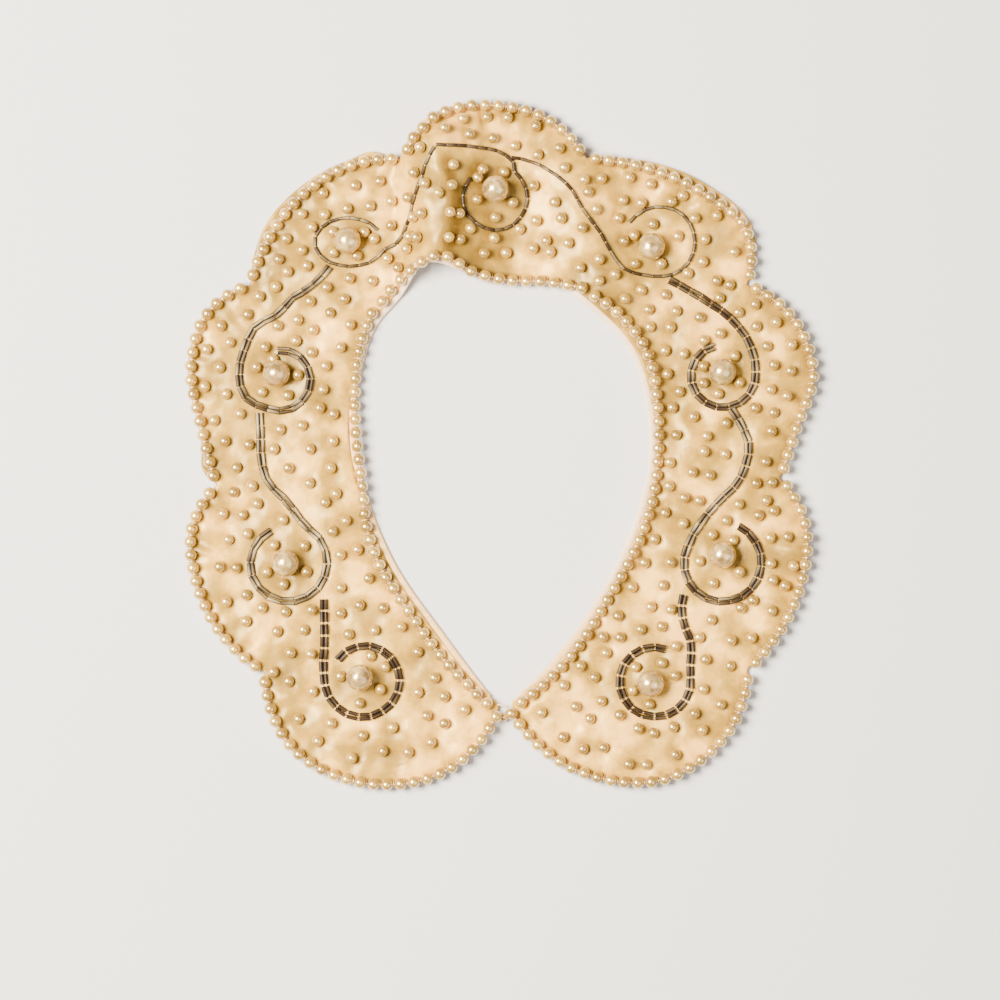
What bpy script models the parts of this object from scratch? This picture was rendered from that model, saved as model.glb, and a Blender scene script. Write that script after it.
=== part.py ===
"""Detachable collar necklace of ivory satin: nine scallops edged with pearls, face up, closed in front.

Metres, +Z up, origin at the middle of the base. Seen from above, +X is to the right, +Y is the back
of the neck, and the two front ends meet at -Y. Sizes and tables are in millimetres.
"""

import math
from collections import namedtuple

import bmesh
import bpy
import numpy as np
from mathutils import Vector

MM = 0.001

# Cloth
WALL = 1.6
EDGE_ROLL = 0.4
SEAM_GAP = 0.3
HEM_PAST_PEARLS = 0.6
HEM_EASE = 0.12
PANEL_ROWS = 6
FACING_WIDTH = 1.5
FACING_WALL = 1.2
FACING_STARTS = 7.8
PANEL_CLEARS_FROM = 1.0
PANEL_CLEARS_BY = 4.0

# Beads
PEARL_RADIUS = 2.0
PEARL_PITCH = 4.2
PEARL_SHOULDER = 0.7
PEARL_WAIST = 0.8
PEARL_SIDES = 6
STRING_END = 3.2
FRONT_STRING_END = 0.0
LARGE_PEARL_RADIUS = 4.2
LARGE_PEARL_SIDES = 10
LARGE_PEARL_BANDS = 7
BUGLE_WIDTH = 1.5
BUGLE_HEIGHT = 1.3
BUGLE_FOOT = 0.8
BUGLE_SHOULDER = 0.55
BUGLE_PITCH = 4.4
BEAD_GAP = 0.4

# The front closure
LOOP_LEFT = (-1.7, -80.2, 2.4)
LOOP_RIGHT = (1.9, -80.9, 2.4)
LOOP_RADIUS = 0.4
LOOP_RISE = 0.6
LOOP_SIDES = 5
LOOP_STEPS = 6

# Curves: steps between two points of a line, steps round a curl, the span over which the cloth's slope
# is taken, and the rounds that settle a bead under the point where it is seen
LINE_STEPS = 16
NECK_STEPS = 24
VINE_STEPS = 8
CURL_STEPS = 16
SLOPE_REACH = 0.05
SEATING_ROUNDS = 6
CLOTH_SMOOTH = 50
BEAD_SMOOTH = 80

IVORY = (0.80, 0.68, 0.49)
FACING_WHITE = (0.84, 0.77, 0.70)
CHAMPAGNE = (0.72, 0.52, 0.30)
CREAM = (0.84, 0.74, 0.60)
BUGLE_GREY = (0.20, 0.17, 0.14)

# Each scallop starts at its notch and runs clockwise, seen from above, from the left front end round
# the back to the right front end. The line of its edge pearls passes rise, crest and fall on its way
# to the next row's notch. neck and neck_mid are the points of the neckline across from the notch and
# the crest, and hem is how far the cloth shows past the pearls at the crest.
Scallop = namedtuple("Scallop", "name notch rise crest fall neck neck_mid hem stations")
SCALLOPS = (
    Scallop("front_left", (-2.2, -83.9), (-18.6, -101.2), (-42.5, -104.6), (-64.5, -94.4),
            (-1.2, -80.6), (-18.0, -58.6), 0.0, 15),
    Scallop("low_left", (-74.1, -70.1), (-87.7, -57.8), (-94.9, -42.6), (-96.4, -25.9),
            (-34.0, -35.2), (-41.8, -16.0), 0.3, 11),
    Scallop("high_left", (-88.8, -12.4), (-93.6, 6.4), (-96.7, 24.0), (-92.1, 40.1),
            (-45.8, 4.8), (-43.9, 21.9), 0.4, 11),
    Scallop("back_left", (-78.4, 49.8), (-71.6, 65.6), (-61.4, 78.3), (-47.4, 86.6),
            (-39.1, 36.7), (-30.7, 46.7), 1.6, 18),
    Scallop("back", (-31.3, 88.5), (-19.8, 101.8), (-3.4, 105.2), (12.7, 101.5),
            (-24.5, 55.6), (-4.0, 50.1), 0.2, 26),
    Scallop("back_right", (25.4, 88.8), (44.6, 85.7), (61.7, 78.3), (75.3, 66.5),
            (18.3, 48.5), (29.5, 40.1), 2.4, 12),
    Scallop("high_right", (75.6, 49.8), (90.5, 38.3), (96.1, 22.2), (91.1, 6.0),
            (38.8, 29.6), (44.3, 12.6), 0.4, 11),
    Scallop("low_right", (85.9, -10.1), (93.9, -26.2), (92.4, -42.6), (85.6, -57.8),
            (45.0, -5.1), (40.6, -23.1), 0.3, 11),
    Scallop("front_right", (75.9, -69.3), (72.2, -84.6), (50.5, -103.2), (22.0, -100.2),
            (32.9, -40.5), (19.2, -61.8), 0.0, 15),
)
LAST_NOTCH = (2.6, -83.0)
LAST_NECK = (2.9, -79.2)

# The strings of pearls round the neckline. Each begins and ends at a share of its length, and insets
# are how far the pearls sit in from the cloth's edge, at even steps along the string.
NeckString = namedtuple("NeckString", "name begins ends insets")
NECK_STRINGS = (
    NeckString("neck_left", 0.0085, 0.381, (2.5, 4.3, 5.1, 4.6, 4.6, 3.5, 0.6, -0.4, 0.6, 2.2, 3.6)),
    NeckString("neck_back", 0.394, 0.583, (3.6, 2.9, 2.4, 1.6, 1.4, 0.8, 3.2)),
    NeckString("neck_right", 0.596, 0.9945, (3.6, 5.0, 4.7, 3.3, 2.8, 3.3, 3.6, 3.2, 2.9, 3.4, 3.1, 2.0)),
)

# The cloth is raised in two soft folds at the back. A crest runs from its outer point to its neck
# point, falls away over left and right, and fades out past its ends over run_out.
Fold = namedtuple("Fold", "outer neck height left right run_out")
FOLDS = (
    Fold((-21.7, 92.8), (-20.5, 52.0), 9.0, 14.0, 24.0, 16.0),
    Fold((21.4, 82.9), (31.3, 52.5), 3.5, 18.0, 12.0, 15.0),
)

# Bugle-bead vines: a stem through its points, then a curl round a large pearl. The curl turns from
# an angle through a sweep, anticlockwise where that is positive, and its radius goes from first to
# last. flat is the curl's height over its width.
Vine = namedtuple("Vine", "name rows stem curl first last angle sweep flat pearl")
VINES = (
    Vine("front_left", 2, ((-55.5, -47.3), (-55.4, -61.0)),
         (-43.1, -72.4), 12.4, 10.0, 180, 325, 1.0, (-44.3, -71.8)),
    Vine("low_left", 2, ((-75.2, 8.7), (-75.1, 1.7), (-74.7, -6.0), (-72.7, -11.6), (-67.4, -16.8)),
         (-66.8, -36.4), 12.6, 11.2, 62, -306, 1.0, (-67.3, -36.4)),
    Vine("high_left", 2, ((-54.2, 53.6), (-59.2, 49.4), (-65.4, 45.5), (-69.2, 41.2), (-76.6, 36.8),
                          (-79.9, 30.6), (-81.8, 23.4), (-81.0, 17.2), (-78.2, 13.4)),
         (-69.0, 20.4), 9.8, 9.1, 240, 216, 1.0, (-70.0, 22.3)),
    Vine("back_left", 1, ((-21.9, 90.8), (-25.7, 82.3), (-30.4, 69.3), (-33.5, 62.5)),
         (-47.7, 63.1), 11.2, 10.4, -22, -308, 0.7, (-48.1, 63.4)),
    Vine("back", 1, ((-20.8, 92.5), (-10.2, 92.2), (-1.2, 91.0), (2.9, 88.2)),
         (-2.6, 76.4), 10.3, 9.3, 52, -275, 1.0, (-2.2, 79.2)),
    Vine("back_right", 1, ((4.2, 89.3), (8.6, 88.0), (15.5, 84.2), (20.7, 79.9), (24.2, 73.6),
                           (30.7, 65.0), (34.3, 58.7), (37.2, 54.7), (42.5, 52.9)),
         (48.7, 62.8), 10.4, 11.4, -93, 241, 1.0, (45.9, 61.5)),
    Vine("high_right", 2, ((52.3, 50.6), (56.4, 48.6), (62.6, 45.0), (71.9, 38.0), (76.6, 31.0)),
         (67.6, 21.9), 10.8, 9.0, 12, -270, 1.0, (67.9, 22.8)),
    Vine("low_right", 2, ((71.7, 9.9), (73.7, 6.5), (75.8, 1.6), (73.5, -10.1), (65.1, -19.1), (58.0, -29.3)),
         (67.6, -36.4), 11.6, 12.6, 170, 256, 1.0, (67.9, -33.9)),
    Vine("front_right", 2, ((56.0, -45.9), (55.2, -50.4), (55.7, -54.4), (58.0, -60.5)),
         (46.8, -73.0), 11.4, 10.5, 14, -305, 1.0, (45.6, -73.6)),
)


def smooth_line(points, per_gap=LINE_STEPS):
    """Points along a curve that passes through the given ones and bends evenly between them."""
    given = np.array(points, dtype=float)
    gaps = np.linalg.norm(np.diff(given, axis=0), axis=1)
    slopes = np.diff(given, axis=0) / gaps[:, None]
    before, after = gaps[:-1, None], gaps[1:, None]
    middle = (slopes[:-1] * after + slopes[1:] * before) / (before + after)
    tangents = np.vstack([2 * slopes[0] - middle[0], middle, 2 * slopes[-1] - middle[-1]])
    line = []
    for index, gap in enumerate(gaps):
        for step in range(per_gap):
            t = step / per_gap
            line.append(
                (2 * t**3 - 3 * t**2 + 1) * given[index]
                + (t**3 - 2 * t**2 + t) * gap * tangents[index]
                + (3 * t**2 - 2 * t**3) * given[index + 1]
                + (t**3 - t**2) * gap * tangents[index + 1]
            )
    line.append(given[-1])
    return np.array(line)


def lengths_along(line):
    """The distance of each point of a line from its start."""
    steps = np.linalg.norm(np.diff(line, axis=0), axis=1)
    return np.concatenate([[0.0], np.cumsum(steps)])


def at_lengths(line, wanted, values=None):
    """The points of a line at the given distances from its start, or the values that go with them."""
    along = lengths_along(line)
    values = line if values is None else values
    return np.column_stack([np.interp(wanted, along, values[:, axis]) for axis in (0, 1)])


def sideways(line):
    """Unit vectors to the left of each point's direction of travel."""
    travel = np.gradient(line, axis=0)
    left = np.column_stack([-travel[:, 1], travel[:, 0]])
    return left / np.linalg.norm(left, axis=1)[:, None]


def ease(share):
    """0 to 1 with a soft start and end."""
    share = min(1.0, max(0.0, share))
    return share * share * (3 - 2 * share)


def lift(x, y):
    """The height of the cloth's underside over the table."""
    height = 0.0
    for fold in FOLDS:
        outer = np.array(fold.outer)
        run = np.array(fold.neck) - outer
        length = float(np.hypot(*run))
        travel = run / length
        offset = np.array([x, y]) - outer
        along = float(offset @ travel)
        across = float(offset[1] * travel[0] - offset[0] * travel[1])
        width = fold.right if across > 0 else fold.left
        past_end = max(0.0, -along, along - length)
        if abs(across) < width and past_end < fold.run_out:
            fade = 0.5 + 0.5 * math.cos(math.pi * past_end / fold.run_out)
            height += fold.height * fade * (0.5 + 0.5 * math.cos(math.pi * across / width))
    return height


def cloth_normal(x, y):
    """The direction straight out of the cloth."""
    slope_x = (lift(x + SLOPE_REACH, y) - lift(x - SLOPE_REACH, y)) / (2 * SLOPE_REACH)
    slope_y = (lift(x, y + SLOPE_REACH) - lift(x, y - SLOPE_REACH)) / (2 * SLOPE_REACH)
    normal = np.array([-slope_x, -slope_y, 1.0])
    return normal / np.linalg.norm(normal)


def above_underside(x, y, height):
    """The point at a height over the underside, straight out of the cloth."""
    return np.array([x, y, lift(x, y)]) + height * cloth_normal(x, y)


def above_cloth(x, y, height):
    """The point at a height over the cloth's face that is seen at x, y from above."""
    under_x, under_y = x, y
    for _ in range(SEATING_ROUNDS):
        shift = (WALL + height) * cloth_normal(under_x, under_y)
        under_x = x - shift[0]
        under_y = y - shift[1]
    return above_underside(under_x, under_y, WALL + height)


def start_empty():
    """Clear the scene."""
    for item in list(bpy.data.objects):
        bpy.data.objects.remove(item, do_unlink=True)


def finish_for(name, colour, roughness):
    """A plain material of an object's own."""
    material = bpy.data.materials.new(name)
    material.use_nodes = True
    shader = material.node_tree.nodes["Principled BSDF"]
    shader.inputs["Base Color"].default_value = (*colour, 1.0)
    shader.inputs["Roughness"].default_value = roughness
    return material


def add_object(name, shape, material, smooth_angle):
    """Make an object of a bmesh whose points are in metres."""
    mesh = bpy.data.meshes.new(name)
    bmesh.ops.recalc_face_normals(shape, faces=shape.faces)
    shape.to_mesh(mesh)
    shape.free()
    mesh.materials.append(material)
    mesh.shade_smooth()
    mesh.set_sharp_from_angle(angle=math.radians(smooth_angle))
    bpy.context.collection.objects.link(bpy.data.objects.new(name, mesh))


def skin(sections):
    """A closed solid through a row of sections, each a ring of points in millimetres."""
    shape = bmesh.new()
    rings = [[shape.verts.new(Vector(point) * MM) for point in section] for section in sections]
    count = len(rings[0])
    for ring, following in zip(rings, rings[1:]):
        for index in range(count):
            after = (index + 1) % count
            shape.faces.new((ring[index], ring[after], following[after], following[index]))
    shape.faces.new(rings[0][::-1])
    shape.faces.new(rings[-1])
    return shape


def wall_section(inner, outer, rows, wall):
    """The ring round a strip of cloth from its inner to its outer edge, with both edges rolled."""
    across = outer - inner
    width = float(np.linalg.norm(across))
    shares = np.linspace(EDGE_ROLL / width, 1 - EDGE_ROLL / width, rows + 1)
    under = [above_underside(*(inner + share * across), 0.0) for share in shares]
    face = [above_underside(*(inner + share * across), wall) for share in shares[::-1]]
    outer_roll = above_underside(*outer, wall / 2)
    inner_roll = above_underside(*inner, wall / 2)
    return [*under, outer_roll, *face, inner_roll]


def neckline():
    """The inner edge of the cloth."""
    points = []
    for scallop in SCALLOPS:
        points.extend((scallop.neck, scallop.neck_mid))
    points.append(LAST_NECK)
    return smooth_line(points, NECK_STEPS)


def facing_share(distance, length):
    """How much of the facing's width the panel leaves free, at a distance along the neckline."""
    from_end = min(distance, length - distance)
    return ease((from_end - PANEL_CLEARS_FROM) / (PANEL_CLEARS_BY - PANEL_CLEARS_FROM))


def scallop_line(index):
    """The line of edge pearls round one scallop."""
    row = SCALLOPS[index]
    after = SCALLOPS[index + 1].notch if index + 1 < len(SCALLOPS) else LAST_NOTCH
    return smooth_line((row.notch, row.rise, row.crest, row.fall, after))


def collar_stations():
    """The inner and outer edge of the panel at each station, from the left front end to the right."""
    neck = neckline()
    neck_along = lengths_along(neck)
    stations = []
    for index, row in enumerate(SCALLOPS):
        line = scallop_line(index)
        last = index == len(SCALLOPS) - 1
        shares = np.arange(row.stations + (1 if last else 0)) / row.stations
        distances = np.interp((index + shares) * 2 * NECK_STEPS, np.arange(len(neck)), neck_along)
        inners = at_lengths(neck, distances)
        inner_outs = at_lengths(neck, distances, sideways(neck))
        wanted = shares * lengths_along(line)[-1]
        outers = at_lengths(line, wanted)
        outer_outs = at_lengths(line, wanted, sideways(line))
        for step, share in enumerate(shares):
            inset = facing_share(distances[step], neck_along[-1]) * (FACING_WIDTH + SEAM_GAP)
            from_notch = min(share, 1 - share)
            hem = HEM_PAST_PEARLS * ease(from_notch / HEM_EASE) + row.hem * math.sin(math.pi * share)
            stations.append((inners[step] + inset * inner_outs[step], outers[step] + hem * outer_outs[step]))
    return stations


def collar_panel():
    """The satin panel, one crescent from front end to front end."""
    sections = [wall_section(inner, outer, PANEL_ROWS, WALL) for inner, outer in collar_stations()]
    add_object("collar_panel", skin(sections), finish_for("ivory_satin", IVORY, 0.45), CLOTH_SMOOTH)


def neck_facing():
    """The facing rolled out along the neckline, one narrow strip."""
    neck = neckline()
    length = lengths_along(neck)[-1]
    count = round((length - 2 * FACING_STARTS) / PEARL_PITCH)
    wanted = np.linspace(FACING_STARTS, length - FACING_STARTS, count)
    inner = at_lengths(neck, wanted)
    outer = inner + FACING_WIDTH * at_lengths(neck, wanted, sideways(neck))
    sections = [wall_section(*edges, 1, FACING_WALL) for edges in zip(inner, outer)]
    add_object("neck_facing", skin(sections), finish_for("facing_white", FACING_WHITE, 0.5), CLOTH_SMOOTH)


def ring_round(centre, travel, radius, sides):
    """A ring of points round a line."""
    travel = travel / np.linalg.norm(travel)
    side = np.cross(travel, (0.0, 0.0, 1.0))
    side = side / np.linalg.norm(side)
    up = np.cross(side, travel)
    angles = [2 * math.pi * (index + 0.5) / sides for index in range(sides)]
    return [centre + radius * (math.cos(angle) * side + math.sin(angle) * up) for angle in angles]


def string_of_pearls(name, line):
    """Pearls threaded in a row along a line seen from above, seated on the cloth."""
    length = lengths_along(line)[-1]
    count = round(length / PEARL_PITCH) + 1
    seen = at_lengths(line, np.linspace(0, length, count))
    centres = np.array([above_cloth(x, y, PEARL_RADIUS + BEAD_GAP) for x, y in seen])
    travels = np.gradient(centres, axis=0)
    travels = travels / np.linalg.norm(travels, axis=1)[:, None]
    shoulder = math.sqrt(PEARL_RADIUS**2 - PEARL_SHOULDER**2)
    first = centres[0] - PEARL_RADIUS * travels[0]
    last = centres[-1] + PEARL_RADIUS * travels[-1]
    rings = [ring_round(first, travels[0], PEARL_WAIST, PEARL_SIDES)]
    for index, (centre, travel) in enumerate(zip(centres, travels)):
        for side in (-PEARL_SHOULDER, PEARL_SHOULDER):
            rings.append(ring_round(centre + side * travel, travel, shoulder, PEARL_SIDES))
        if index + 1 < count:
            halfway = (centre + centres[index + 1]) / 2
            rings.append(ring_round(halfway, centres[index + 1] - centre, PEARL_WAIST, PEARL_SIDES))
    rings.append(ring_round(last, travels[-1], PEARL_WAIST, PEARL_SIDES))
    add_object(name, skin(rings), finish_for(name, CHAMPAGNE, 0.3), BEAD_SMOOTH)


def edge_strings():
    """One string of pearls round each scallop."""
    for index, row in enumerate(SCALLOPS):
        line = scallop_line(index)
        first = FRONT_STRING_END if index == 0 else STRING_END
        last = FRONT_STRING_END if index == len(SCALLOPS) - 1 else STRING_END
        kept = at_lengths(line, np.linspace(first, lengths_along(line)[-1] - last, len(line)))
        string_of_pearls(f"pearl_edge_{row.name}", kept)


def neck_strings():
    """The strings of pearls round the neckline."""
    neck = neckline()
    length = lengths_along(neck)[-1]
    outward = sideways(neck)
    for row in NECK_STRINGS:
        wanted = np.linspace(row.begins, row.ends, len(row.insets)) * length
        inset = np.array(row.insets)[:, None]
        line = smooth_line(at_lengths(neck, wanted) + inset * at_lengths(neck, wanted, outward))
        string_of_pearls(f"pearl_{row.name}", line)


def vine_line(vine):
    """The middle of a vine, along its stem and round its curl."""
    points = list(vine.stem)
    for step in range(CURL_STEPS + 1):
        share = step / CURL_STEPS
        angle = math.radians(vine.angle + vine.sweep * share)
        radius = vine.first + (vine.last - vine.first) * share
        points.append((
            vine.curl[0] + radius * math.cos(angle),
            vine.curl[1] + radius * vine.flat * math.sin(angle),
        ))
    return smooth_line(points, VINE_STEPS)


def vines():
    """The bugle-bead vines, each a low strip one or two beads wide."""
    shoulder = BUGLE_SHOULDER * BUGLE_HEIGHT
    for vine in VINES:
        line = vine_line(vine)
        length = lengths_along(line)[-1]
        count = round(length / (BUGLE_PITCH * vine.rows / 2)) + 1
        seen = at_lengths(line, np.linspace(0, length, count))
        travels = np.gradient(seen, axis=0)
        half = vine.rows * BUGLE_WIDTH / 2
        sections = []
        for (x, y), (run_x, run_y) in zip(seen, travels):
            foot = above_cloth(x, y, BEAD_GAP)
            normal = cloth_normal(x, y)
            side = np.cross(normal, (run_x, run_y, 0.0))
            side = side / np.linalg.norm(side)
            sections.append([
                foot - BUGLE_FOOT * half * side,
                foot + BUGLE_FOOT * half * side,
                foot + half * side + shoulder * normal,
                foot + BUGLE_HEIGHT * normal,
                foot - half * side + shoulder * normal,
            ])
        name = f"vine_{vine.name}"
        add_object(name, skin(sections), finish_for(name, BUGLE_GREY, 0.2), BEAD_SMOOTH)


def large_pearls():
    """A large pearl in the middle of each curl."""
    for vine in VINES:
        x, y = vine.pearl
        centre = above_cloth(x, y, LARGE_PEARL_RADIUS + BEAD_GAP)
        shape = bmesh.new()
        bmesh.ops.create_uvsphere(
            shape,
            u_segments=LARGE_PEARL_SIDES,
            v_segments=LARGE_PEARL_BANDS,
            radius=LARGE_PEARL_RADIUS * MM,
        )
        bmesh.ops.translate(shape, verts=shape.verts, vec=Vector(centre) * MM)
        name = f"large_pearl_{vine.name}"
        add_object(name, shape, finish_for(name, CREAM, 0.2), BEAD_SMOOTH)


def front_loop():
    """The thread loop that holds the two front ends together."""
    left = np.array(LOOP_LEFT)
    span = np.array(LOOP_RIGHT) - left
    rings = []
    for step in range(LOOP_STEPS + 1):
        share = step / LOOP_STEPS
        centre = left + share * span + np.array((0, 0, LOOP_RISE * math.sin(math.pi * share)))
        travel = span + np.array((0, 0, LOOP_RISE * math.pi * math.cos(math.pi * share)))
        rings.append(ring_round(centre, travel, LOOP_RADIUS, LOOP_SIDES))
    add_object("front_loop", skin(rings), finish_for("loop_thread", IVORY, 0.8), BEAD_SMOOTH)


def main():
    start_empty()
    collar_panel()
    neck_facing()
    edge_strings()
    neck_strings()
    vines()
    large_pearls()
    front_loop()


main()
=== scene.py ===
"""Collar necklace of ivory satin, face up, with strung pearls, bugle-bead vines and scattered pearls.

Sizes and tables are in millimetres and turned into metres where a mesh is made. Seen from above, +X is
to the right and +Y is the back of the neck.
"""

import math
import random
from collections import namedtuple

import bmesh
import bpy
import numpy as np
from mathutils import Matrix, Vector, kdtree, noise


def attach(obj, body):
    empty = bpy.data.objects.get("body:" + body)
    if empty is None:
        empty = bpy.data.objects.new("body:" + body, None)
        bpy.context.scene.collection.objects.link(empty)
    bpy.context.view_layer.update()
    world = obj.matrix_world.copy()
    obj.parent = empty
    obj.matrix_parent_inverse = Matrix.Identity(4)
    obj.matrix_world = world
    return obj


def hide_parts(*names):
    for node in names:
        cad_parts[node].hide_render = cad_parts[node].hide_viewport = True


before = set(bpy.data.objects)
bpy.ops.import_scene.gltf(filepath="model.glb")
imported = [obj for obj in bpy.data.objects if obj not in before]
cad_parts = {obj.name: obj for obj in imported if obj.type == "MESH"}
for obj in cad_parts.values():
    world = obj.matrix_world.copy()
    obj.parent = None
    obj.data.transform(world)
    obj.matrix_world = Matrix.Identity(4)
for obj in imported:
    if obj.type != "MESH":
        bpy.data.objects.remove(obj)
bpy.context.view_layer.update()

MM = 0.001
SEED = 11

# Cloth, as in the solids
WALL = 1.6
SEAM_GAP = 0.3
HEM_PAST_PEARLS = 0.6
HEM_EASE = 0.12
MARGIN_EASE = 0.05
FACING_WIDTH = 1.5
FACING_WALL = 1.2

# The facing runs out to a point at each front end, over a longer way than in the solids
FACING_STARTS = 4.0
FACING_TUCK = 0.3
FACING_WARMS_PER_METRE = 25.0
PANEL_CLEARS_FROM = 1.0
PANEL_CLEARS_BY = 16.0

# Beads, as in the solids
PEARL_RADIUS = 2.0
PEARL_PITCH = 4.2
STRING_END = 3.2
FRONT_STRING_END = 0.0
LARGE_PEARL_RADIUS = 4.2
LOOP_LEFT = (-1.7, -80.2, 2.4)
LOOP_RIGHT = (1.9, -80.9, 2.4)
LOOP_RISE = 0.6

# Beads that have no solid, and how far the most misshapen pearl is pressed flat, as a share
SMALL_PEARL_RADIUS = 1.8
TIP_BEAD_RADIUS = 1.5
TIP_BEAD = (0.3, -84.2)
PEARL_SQUASH = 0.08

# How far the middle of a small pearl keeps from the other beads, seen from above
CLEARS_LARGE_PEARL = 5.4
CLEARS_STRING = 3.6
CLEARS_VINE = 2.1
CLEARS_DOUBLE_VINE = 2.9

# Bugle beads: the rim's width and the heights where the lining shows as a painted glint along the top are
# shares of the radius
BUGLE_RADIUS = 0.62
BUGLE_SPREAD = 0.66
BUGLE_STRAY = 0.12
BUGLE_SILVER_AND_GLARE_STRAY = 0.40
BUGLE_RIM = 0.6
BUGLE_HOLE_DEPTH = 0.3
GLINT_FROM = 0.80
GLINT_FULL = 1.0

# Thread, and the places that a stitch passes through, sideways and upwards of the string's middle
THREAD_RADIUS = 0.26
LOOP_THREAD_RADIUS = 0.16
LOOP_TWIST_RADIUS = 0.14
LOOP_TURNS = 3
VINE_THREAD_RADIUS = 0.12
STITCH_RADIUS = 0.09
STITCH_PATH = ((-1.2, -1.6), (-0.8, -0.3), (0.0, 0.35), (0.8, -0.3), (1.2, -1.6))

# The satin's own relief: wrinkles are pairs of a size and a height
DIMPLE_DEPTH = 0.7
DIMPLE_RADIUS = 2.7
DIMPLES_AT_MOST = 1.2
VINE_GROOVE_DEPTH = 0.35
VINE_GROOVE_WIDTH = 2.2
PUFF = 0.5
WRINKLES = ((8.0, 0.80), (3.6, 0.28))
PUCKER_PITCH = 7.0
PUCKER_HEIGHT = 0.45
PUCKER_SETS_IN = 2.0
PUCKER_REACH = 9.0
PUCKER_SWAY = 4.0
PUCKER_SHARE = 0.6
PUCKER_SHARE_STRAY = 0.8
CREASE_GAIN = 1.6
CREASE_BOW = 0.12
CREASE_FADE = 0.4
SEAT_SINK = 0.15

# How golden the satin has gone, with painted shade: round each kind of bead, in clouds, and everywhere
RING_STAIN_AND_SHADE_RADIUS = 2.9
# Each bead's ring is shifted right and down, to its shadow side: painted shade over the golden stain
RING_SHADE_SHIFT = (0.4, -0.3)
STRUNG_HALO = 0.16
SMALL_HALO = 0.32
LARGE_HALO = 0.45
CLOUD_STAIN = 0.60
LEAST_STAIN = 0.21

# The size of a random pattern's clouds, and the layer of the pattern that they are taken from
SWAY_CLOUDS = (9.0, 7.0)
STAIN_CLOUDS = (10.0, 3.0)

# How fine the meshes are, and how many points are set against all the beads at a time
PANEL_STEPS = 92
FACE_STEPS = 70
ROLL_STEPS = 5
BACK_STEPS = 8
FACING_STEPS = 520
FACING_FACE_STEPS = 4
PEARL_FINENESS = 2
LARGE_PEARL_SIDES = 40
LARGE_PEARL_BANDS = 24
BUGLE_SIDES = 12
THREAD_FINENESS = 1
LOOP_STEPS = 24
MERGED_UNDER = 0.00001
POINTS_AT_A_TIME = 4000
LINE_STEPS = 16
NECK_STEPS = 24
VINE_STEPS = 8
CURL_STEPS = 16
SLOPE_REACH = 0.05
SEATING_ROUNDS = 6

# Camera, floor and light, in metres
CAMERA_OVER = (-0.0009, -0.0169)
FRAME_WIDTH = 0.310
LENS_MM = 200.0
SENSOR_MM = 36.0
SEES_TO = 10.0
FLOOR_SIZE = 3.0
FLOOR_COLOUR = (0.62, 0.61, 0.60, 1.0)
WORLD_COLOUR = (1.0, 0.98, 0.96, 1.0)
WORLD_STRENGTH = 0.25
Light = namedtuple("Light", "name place size power colour")
LIGHTS = (
    Light("key", (-0.70, 0.12, 1.05), 0.62, 108.0, (1.0, 0.93, 0.82)),
    Light("fill", (0.8, -0.4, 1.2), 1.2, 14.0, (1.0, 0.95, 0.88)),
)

# Colours, most of them as the stops of a ramp
# The satin, pale to golden; its darker stops also carry painted shade round the beads and on the folds
SATIN_AGES_AND_SHADE = (
    (0.0, (0.95, 0.53, 0.120)),
    (0.25, (0.61, 0.338, 0.048)),
    (0.50, (0.38, 0.215, 0.026)),
    (1.0, (0.21, 0.116, 0.013)),
)
SATIN_THREADS = (0.60, 0.45, 0.30)
SATIN_SHINE = (1.0, 0.76, 0.36, 1.0)
FACING_PALE = ((0.3, (0.72, 0.50, 0.31)), (0.7, (0.86, 0.64, 0.44)))
FACING_IVORY = ((0.3, (0.70, 0.40, 0.13)), (0.7, (0.88, 0.55, 0.21)))
STRUNG_CHAMPAGNE = ((0.20, (0.34, 0.195, 0.024)), (0.75, (0.70, 0.43, 0.080)))
SMALL_CHAMPAGNE = ((0.20, (0.36, 0.210, 0.028)), (0.75, (0.72, 0.45, 0.088)))
CREAM_CLOUDS = (
    (0.34, (0.24, 0.150, 0.034)),
    (0.45, (0.54, 0.315, 0.105)),
    (0.54, (0.38, 0.265, 0.062)),
    (0.66, (0.78, 0.53, 0.20)),
)
GLASS_DARKS = ((0.0, (0.018, 0.010, 0.005)), (1.0, (0.040, 0.027, 0.015)))
# The silver lining and its painted glint
GLASS_SILVER_GLINTS = (
    (0.0, (0.035, 0.020, 0.010)),
    (0.5, (0.15, 0.105, 0.050)),
    (1.0, (0.42, 0.32, 0.17)),
)
COTTON_CREAMS = ((0.3, (0.60, 0.38, 0.18)), (0.7, (0.86, 0.66, 0.40)))

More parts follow.
